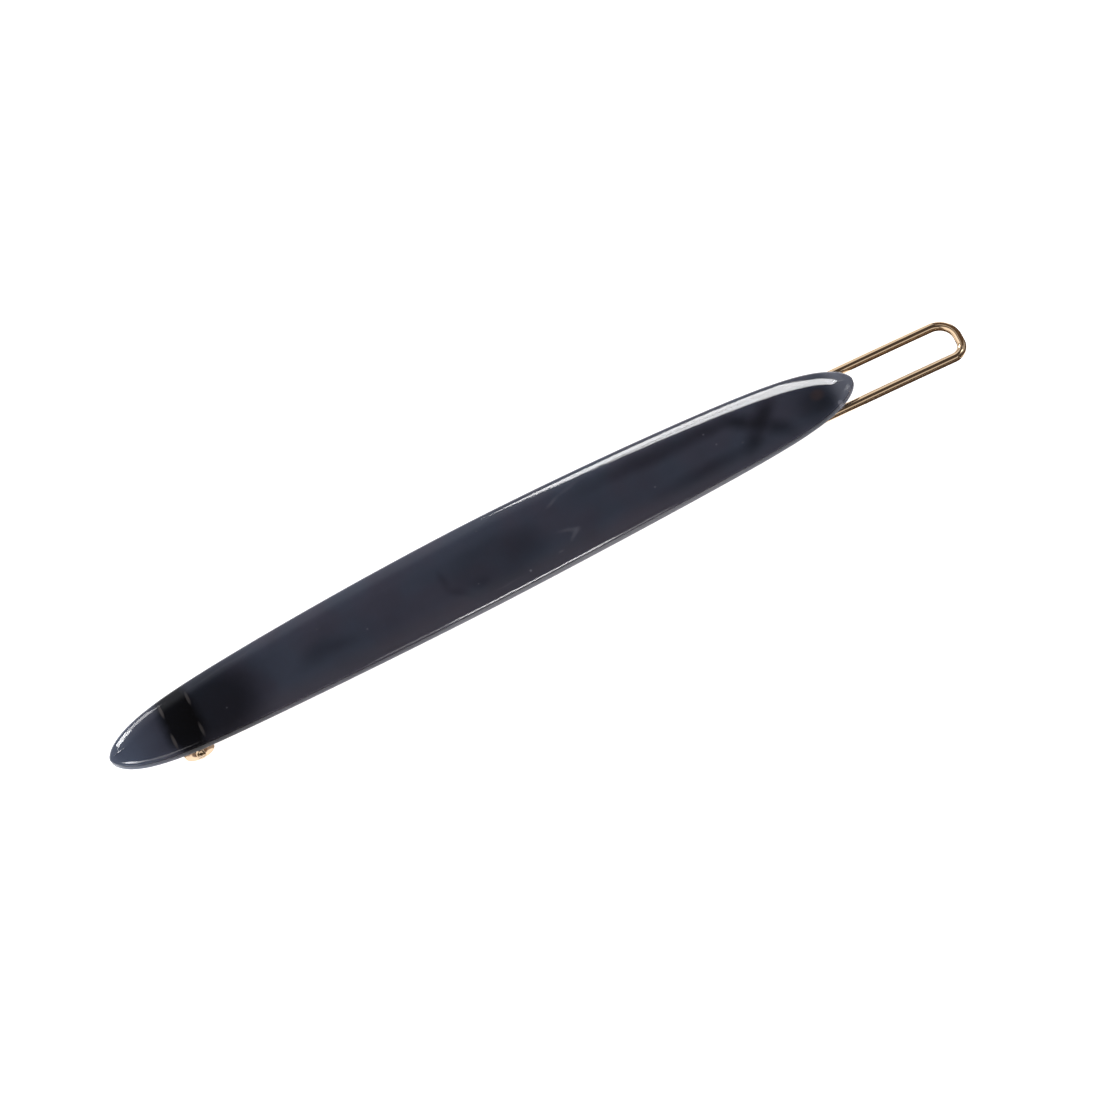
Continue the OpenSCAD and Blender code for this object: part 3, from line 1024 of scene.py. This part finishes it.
# The stamped sheet is painted brown in a ring round each pin and in streaks along the fold
# under the plate: partly tarnish where the polishing wheel can't reach, partly painted shade
# in the gap round the pin and where the fold lies under the plate.
sheet_gold = gold.copy()
sheet_gold.name = "gold_plated_brass_sheet_stamped"
tree = sheet_gold.node_tree
sheet_metal = tree.nodes["Principled BSDF"]
bright_gold = sheet_metal.inputs["Base Color"].links[0].from_socket
place = add_node(tree, "ShaderNodeTexCoord")
pin_place = laid @ Vector((hinge.x, 0, hinge.y))
from_pin = add_node(
    tree,
    "ShaderNodeVectorMath",
    {0: place.outputs["Object"], 1: pin_place},
    operation="SUBTRACT",
)
from_pin = add_node(
    tree,
    "ShaderNodeVectorMath",
    {0: from_pin.outputs[0], 1: (1 / MM, 0.0, 1 / MM)},
    operation="MULTIPLY",
)
pin_ring = add_node(tree, "ShaderNodeVectorMath", {0: from_pin.outputs[0]}, operation="LENGTH")
# Partly tarnish, partly painted shade in the gap round the pin
ring_tarnish_and_shade = add_node(
    tree,
    "ShaderNodeMapRange",
    {
        "Value": pin_ring.outputs["Value"],
        1: RING_CLEAN_RADIUS,
        2: RING_BROWN_RADIUS,
        3: 0.0,
        4: 1.0,
    },
    interpolation_type="SMOOTHSTEP",
)
streaks = add_node(
    tree,
    "ShaderNodeTexNoise",
    {"Vector": from_pin.outputs[0], "Scale": 0.9, "Detail": 3.0},
)
height_above_pin = add_node(tree, "ShaderNodeSeparateXYZ", {0: from_pin.outputs[0]})
fold_height = add_node(
    tree,
    "ShaderNodeMath",
    {0: streaks.outputs["Fac"], 1: STREAK_HEIGHT, 2: height_above_pin.outputs["Z"]},
    operation="MULTIPLY_ADD",
)
fold_height = add_node(
    tree,
    "ShaderNodeMath",
    {0: height_above_pin.outputs["X"], 1: FOLD_TILT, 2: fold_height.outputs[0]},
    operation="MULTIPLY_ADD",
)
# Partly tarnish, partly painted shade along the fold under the plate
fold_tarnish_and_shade = add_node(
    tree,
    "ShaderNodeMapRange",
    {
        "Value": fold_height.outputs[0],
        1: FOLD_CLEAN,
        2: FOLD_BROWN,
        3: 0.0,
        4: FOLD_STRENGTH,
    },
    interpolation_type="SMOOTHSTEP",
)
tarnish_and_shade = add_node(
    tree,
    "ShaderNodeMath",
    {0: ring_tarnish_and_shade.outputs[0], 1: fold_tarnish_and_shade.outputs[0]},
    operation="MAXIMUM",
)
sheet_colour = add_node(
    tree,
    "ShaderNodeMix",
    {"Factor": tarnish_and_shade.outputs[0], "A": bright_gold, "B": linear("#5A3C1E")},
    data_type="RGBA",
)
tree.links.new(sheet_colour.outputs["Result"], sheet_metal.inputs["Base Color"])

bracket_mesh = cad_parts["hinge_bracket"].data.copy()
bracket_mesh.name = "hinge_bracket_rounded"
bracket_mesh.materials.clear()
bracket_mesh.materials.append(sheet_gold)
work = bmesh.new()
work.from_mesh(bracket_mesh)
bmesh.ops.remove_doubles(work, verts=work.verts, dist=0.002 * MM)
bmesh.ops.dissolve_limit(
    work, angle_limit=math.radians(1.0), verts=work.verts, edges=work.edges
)
crisp = [e for e in work.edges if len(e.link_faces) == 2 and e.calc_face_angle() > CRISP_ANGLE]
bmesh.ops.bevel(
    work,
    geom=crisp,
    offset=EDGE_ROUNDING * MM,
    offset_type="OFFSET",
    segments=3,
    profile=0.5,
    affect="EDGES",
    clamp_overlap=True,
)
bmesh.ops.recalc_face_normals(work, faces=work.faces)
for face in work.faces:
    face.smooth = True
work.to_mesh(bracket_mesh)
work.free()
bracket_mesh.set_sharp_from_angle(angle=SHARP_ANGLE)
bracket = bpy.data.objects.new("gold_hinge_bracket", bracket_mesh)
bpy.context.collection.objects.link(bracket)
# Its black block and pale prong marks through the acetate are painted shade and painted glints in the
# acetate's colour
bracket.visible_transmission = False
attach(bracket, "clip")
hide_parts("hinge_bracket")


# Ball stud: a 4 mm ball turned in one piece with its shank, gold plated, and pressed
# hot into the acetate near the right tip. The loop's arms spring over the ball, and
# its shank shows through the polished top as a brown spot.
BALL_DIAMETER = 4.0
SHANK_DIAMETER = 2.0
SHANK_DEPTH = 1.2
SHANK_CHAMFER = 0.15
NECK_FILLET = 0.25
BALL_SIDES, BALL_STEPS, FILLET_STEPS = 64, 28, 6

turned_gold = gold.copy()
turned_gold.name = "gold_plated_brass_turned"

ball_radius, shank_radius = BALL_DIAMETER / 2, SHANK_DIAMETER / 2
fillet_x = shank_radius + NECK_FILLET
fillet_z = math.sqrt((ball_radius + NECK_FILLET) ** 2 - fillet_x**2)
ball_end = math.atan2(fillet_z, fillet_x)
profile = []
for i in range(1, BALL_STEPS + 1):
    angle = -math.pi / 2 + (ball_end + math.pi / 2) * i / BALL_STEPS
    profile.append((ball_radius * math.cos(angle), ball_radius * math.sin(angle)))
for i in range(1, FILLET_STEPS + 1):
    angle = ball_end + math.pi - ball_end * i / FILLET_STEPS
    profile.append((fillet_x + NECK_FILLET * math.cos(angle), fillet_z + NECK_FILLET * math.sin(angle)))
shank_top = BALL_DROP + SHANK_DEPTH
profile.append((shank_radius, shank_top - SHANK_CHAMFER))
profile.append((shank_radius - SHANK_CHAMFER, shank_top))
ball_mesh = bpy.data.meshes.new("ball_stud_turned")
work = bmesh.new()
rings = []
for r, z in profile:
    rings.append([
        work.verts.new((
            r * math.cos(2 * math.pi * k / BALL_SIDES), r * math.sin(2 * math.pi * k / BALL_SIDES), z,
        ))
        for k in range(BALL_SIDES)
    ])
pole = work.verts.new((0, 0, -ball_radius))
top_middle = work.verts.new((0, 0, shank_top))
for k in range(BALL_SIDES):
    m = (k + 1) % BALL_SIDES
    work.faces.new((pole, rings[0][m], rings[0][k]))
    work.faces.new((top_middle, rings[-1][k], rings[-1][m]))
    for lower, upper in zip(rings, rings[1:]):
        work.faces.new((lower[k], lower[m], upper[m], upper[k]))
bmesh.ops.recalc_face_normals(work, faces=work.faces)
for face in work.faces:
    face.smooth = True
work.to_mesh(ball_mesh)
work.free()
ball_mesh.set_sharp_from_angle(angle=math.radians(40))
ball_mesh.materials.append(turned_gold)
ball_place = (
    Matrix.Translation((BALL_X, CLASP_OFFSET, underside_z(BALL_X)))
    @ Matrix.Rotation(plate_dip(BALL_X), 4, "Y")
    @ Matrix.Translation((0, 0, -BALL_DROP))
)
ball_mesh.transform(laid @ ball_place)
ball_stud = bpy.data.objects.new("gold_ball_stud", ball_mesh)
bpy.context.collection.objects.link(ball_stud)
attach(ball_stud, "clip")
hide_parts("ball_stud")
# Its brown spot in the acetate is a painted image of its shank, with painted shade round it, in the
# acetate's colour
ball_stud.visible_transmission = False


# Table: a plain white board that also glows, so that the clip leaves almost no shadow.
table_paint = bpy.data.materials.new("matt_white_board")
table_paint.use_nodes = True
tree = table_paint.node_tree
tree.nodes.clear()
board = add_node(
    tree,
    "ShaderNodeBsdfPrincipled",
    {
        "Base Color": linear("#C8C8C8"),
        "Roughness": 0.9,
        "Specular IOR Level": 0.0,
        "Emission Color": (1.0, 1.0, 1.0, 1.0),
        "Emission Strength": 0.9,
    },
)
add_node(tree, "ShaderNodeOutputMaterial", {"Surface": board.outputs[0]})
table_mesh = bpy.data.meshes.new("white_table")
TABLE_REACH = 4.0
table_mesh.from_pydata(
    [(x * TABLE_REACH, y * TABLE_REACH, 0.0) for x, y in ((-1, -1), (1, -1), (1, 1), (-1, 1))],
    [],
    [(0, 1, 2, 3)],
)
table_mesh.materials.append(table_paint)
table = bpy.data.objects.new("white_table", table_mesh)
bpy.context.collection.objects.link(table)

# A black card lies on the table in front of the clip and another stands beyond the handle,
# as is done to give bright wire and glossy edges dark lines. They show in reflections only.
# The lying card's edge follows the clip, so that the upper part of the near wall mirrors
# the card and the lower part the white table, and it bows away from the plate's middle.
CARD_HEIGHT = 0.1
CARD_WALL_SHARE = 0.35
CARD_SHARE_END, CARD_SHARE_FULL = 0.91, 0.78
CARD_BOW = 5.4
CARD_BOW_LEFT = (-21.0, -2.0)
CARD_BOW_RIGHT = (37.0, 11.0)
CARD_EDGE_ENDS = (0.965, -0.988)
CARD_EDGE_STEPS = 32
CARD_OUTER_CORNERS = ((-80.0, -120.0), (200.0, -120.0), (200.0, 65.0), (120.0, 65.0))
HANDLE_NOTCH = (
    # x, y in mm, in to the wire's handle from the right, round it and back to the plate
    (63.0, 7.0), (62.0, 4.0), (62.4, 1.0), (62.0, -1.5), (61.5, -4.2), (60.9, -5.6),
    (60.6, -4.4), (60.3, -1.0), (59.8, 0.6), (58.0, 2.4), (46.5, 2.4),
)
UPRIGHT_CARD = ((75.0, 84.0, 0.0), (130.0, 34.0, 0.0), (123.0, 4.0, 51.0), (74.0, 37.0, 71.0))
card_paint = bpy.data.materials.new("matt_black_card")
card_paint.use_nodes = True
tree = card_paint.node_tree
tree.nodes.clear()
black = add_node(
    tree,
    "ShaderNodeBsdfPrincipled",
    {"Base Color": linear("#54483F"), "Roughness": 0.9, "Specular IOR Level": 0.0},
)
add_node(tree, "ShaderNodeOutputMaterial", {"Surface": black.outputs[0]})


def smooth_step(value, start, end):
    """Rises softly from 0 at the start to 1 at the end."""
    share = min(max((value - start) / (end - start), 0.0), 1.0)
    return share * share * (3 - 2 * share)


def near_wall(along):
    """Foot of the near wall, in mm as it lies, at this share of the plate's half length."""
    taper = BELLY_SHARE * abs(along) ** BELLY_POWER + (1 - BELLY_SHARE) * abs(along) ** TIP_POWER
    foot_radius = arch_radius - PLATE_THICKNESS / 2 + LOWER_EDGE_RADIUS
    bend = math.asin(plate_half * along / arch_radius)
    return laid @ Vector((
        plate_half + foot_radius * math.sin(bend),
        -PLATE_WIDTH / 2 * (1 - taper) ** TIP_SHARPNESS,
        arch_centre_z + foot_radius * math.cos(bend),
    )) / MM


def card_edge(along):
    """The point of the table that the camera sees mirrored at a share of the wall's height."""
    foot = near_wall(along)
    run = near_wall(along + 0.001) - near_wall(along - 0.001)
    turned = math.atan2(run.y, run.x)
    wall_height = PLATE_THICKNESS - TOP_EDGE_HEIGHT - LOWER_EDGE_RADIUS
    share = (CARD_SHARE_END - along) / (CARD_SHARE_END - CARD_SHARE_FULL)
    share = CARD_WALL_SHARE * min(max(share, 0.0), 1.0)
    reach = (foot.z + share * wall_height) / math.tan(VIEW_ELEVATION)
    x = foot.x + reach * math.sin(2 * turned)
    bow = CARD_BOW * smooth_step(x, *CARD_BOW_LEFT) * smooth_step(x, *CARD_BOW_RIGHT)
    return x, foot.y - reach * math.cos(2 * turned) - bow


first_turn, last_turn = (math.acos(end) for end in CARD_EDGE_ENDS)
edge_points = [
    card_edge(math.cos(first_turn + (last_turn - first_turn) * i / CARD_EDGE_STEPS))
    for i in range(CARD_EDGE_STEPS + 1)
]
lying_card = [
    (x, y, CARD_HEIGHT) for x, y in [*CARD_OUTER_CORNERS, *HANDLE_NOTCH, *edge_points]
]
lying_count = len(lying_card)
card_mesh = bpy.data.meshes.new("black_cards")
card_mesh.from_pydata(
    [Vector(corner) * MM for corner in [*lying_card, *UPRIGHT_CARD]],
    [],
    [tuple(range(lying_count)), tuple(range(lying_count, lying_count + len(UPRIGHT_CARD)))],
)
card_mesh.materials.append(card_paint)
card = bpy.data.objects.new("black_cards", card_mesh)
card.visible_camera = False
card.visible_transmission = False
card.visible_diffuse = False
card.visible_shadow = False
bpy.context.collection.objects.link(card)

# Light: a dim room with a white sheet hung behind the clip, and plain softboxes, given by
# where each stands as seen from the clip. Azimuth is counted from straight behind the
# clip towards its handle, and the lean turns a box's top towards the handle. Some boxes
# light only the wire and most of the others leave it out, as flags do in a studio. The
# camera itself sees plain white past the table.
DIM_WALLS, WHITE_SHEET = (0.08, 0.07, 0.065, 1.0), (0.5, 0.5, 0.52, 1.0)
# Where the sheet fades out, as height and as depth of a direction from the clip
SHEET_TOP, SHEET_NEAR_SIDE = (0.87, 0.72), (-0.55, -0.3)
room = bpy.data.worlds.new("dim_room")
bpy.context.scene.world = room
room.use_nodes = True
tree = room.node_tree
tree.nodes.clear()
direction = add_node(
    tree, "ShaderNodeSeparateXYZ", {0: add_node(tree, "ShaderNodeTexCoord").outputs["Generated"]}
)
sheet_height = add_node(
    tree,
    "ShaderNodeMapRange",
    {"Value": direction.outputs["Z"], 1: SHEET_TOP[0], 2: SHEET_TOP[1], 3: 0.0, 4: 1.0},
)
sheet_behind = add_node(
    tree,
    "ShaderNodeMapRange",
    {
        "Value": direction.outputs["Y"],
        1: SHEET_NEAR_SIDE[0],
        2: SHEET_NEAR_SIDE[1],
        3: 0.0,
        4: 1.0,
    },
)
sheet = add_node(
    tree,
    "ShaderNodeMath",
    {0: sheet_height.outputs[0], 1: sheet_behind.outputs[0]},
    operation="MULTIPLY",
)
walls = add_node(
    tree,
    "ShaderNodeMix",
    {"Factor": sheet.outputs[0], "A": DIM_WALLS, "B": WHITE_SHEET},
    data_type="RGBA",
)
seen_directly = add_node(tree, "ShaderNodeLightPath")
room_light = add_node(
    tree,
    "ShaderNodeMix",
    {
        "Factor": seen_directly.outputs["Is Camera Ray"],
        "A": walls.outputs["Result"],
        "B": (1.0, 1.0, 1.0, 1.0),
    },
    data_type="RGBA",
)
sky = add_node(tree, "ShaderNodeBackground", {"Color": room_light.outputs["Result"]})
add_node(tree, "ShaderNodeOutputWorld", {"Surface": sky.outputs[0]})

LIGHT_DISTANCE = 3.0


def towards(azimuth, elevation):
    """The direction in which something stands as seen from the clip."""
    a, e = math.radians(azimuth), math.radians(elevation)
    return Vector((math.sin(a) * math.cos(e), math.cos(a) * math.cos(e), math.sin(e)))


wire_only = bpy.data.collections.new("lit_wire")
wire_only.objects.link(wire_loop)
all_but_wire = bpy.data.collections.new("flagged_wire")
all_but_wire.objects.link(wire_loop)
all_but_wire.collection_objects[0].light_linking.link_state = "EXCLUDE"
for name, azimuth, elevation, lean, wide, high, radiance, lit in (
    # angles in degrees, width and height in m, and what the box lights
    ("window_upper", 16.1, 48.9, 34.0, 0.58, 0.88, 16.0, all_but_wire),
    ("window_lower", 6.6, 33.5, 11.0, 0.50, 0.85, 16.0, all_but_wire),
    ("softbox_far_left", -22.8, 29.0, 0.0, 0.38, 0.95, 17.0, None),
    ("reflector_far_left", -15.9, 26.5, 0.0, 0.27, 0.85, 7.0, all_but_wire),
    ("softbox_near_left", -119.5, 41.0, 0.0, 0.52, 1.1, 17.0, all_but_wire),
    ("reflector_near_left", -131.0, 41.0, 0.0, 0.4, 1.1, 6.0, all_but_wire),
    ("skirt_near_left", -146.0, 46.0, 0.0, 0.55, 1.0, 2.6, all_but_wire),
    ("reflector_near_right", 103.0, 43.0, -12.0, 0.5, 1.3, 2.5, None),
    ("strip_in_front", 179.4, 24.0, 0.0, 0.34, 1.3, 15.0, all_but_wire),
    ("skirt_in_front", 180.0, 24.0, 0.0, 0.6, 1.3, 3.0, all_but_wire),
    ("panel_behind_wire", 8.5, 50.0, 0.0, 0.65, 4.0, 0.55, wire_only),
    ("panel_left_of_wire", -85.0, 42.0, 0.0, 4.6, 3.0, 0.9, wire_only),
    ("panel_before_wire", 180.0, 38.0, 0.0, 3.0, 1.3, 0.75, wire_only),
):
    toward = towards(azimuth, elevation)
    lamp = bpy.data.lights.new(name, "AREA")
    lamp.shape = "RECTANGLE"
    lamp.size, lamp.size_y = wide, high
    lamp.energy = radiance * math.pi * wide * high
    softbox = bpy.data.objects.new(name, lamp)
    softbox.location = toward * LIGHT_DISTANCE
    softbox.rotation_mode = "QUATERNION"
    softbox.rotation_quaternion = (
        toward.to_track_quat("Z", "Y") @ Quaternion((0, 0, 1), math.radians(lean))
    )
    bpy.context.collection.objects.link(softbox)
    if lit:
        softbox.light_linking.receiver_collection = lit

scene = bpy.context.scene
scene.view_settings.view_transform = "Standard"
scene.view_settings.look = "None"
scene.cycles.use_denoising = True
scene.cycles.max_bounces = 16
scene.cycles.transmission_bounces = 12
scene.cycles.sample_clamp_indirect = 8.0
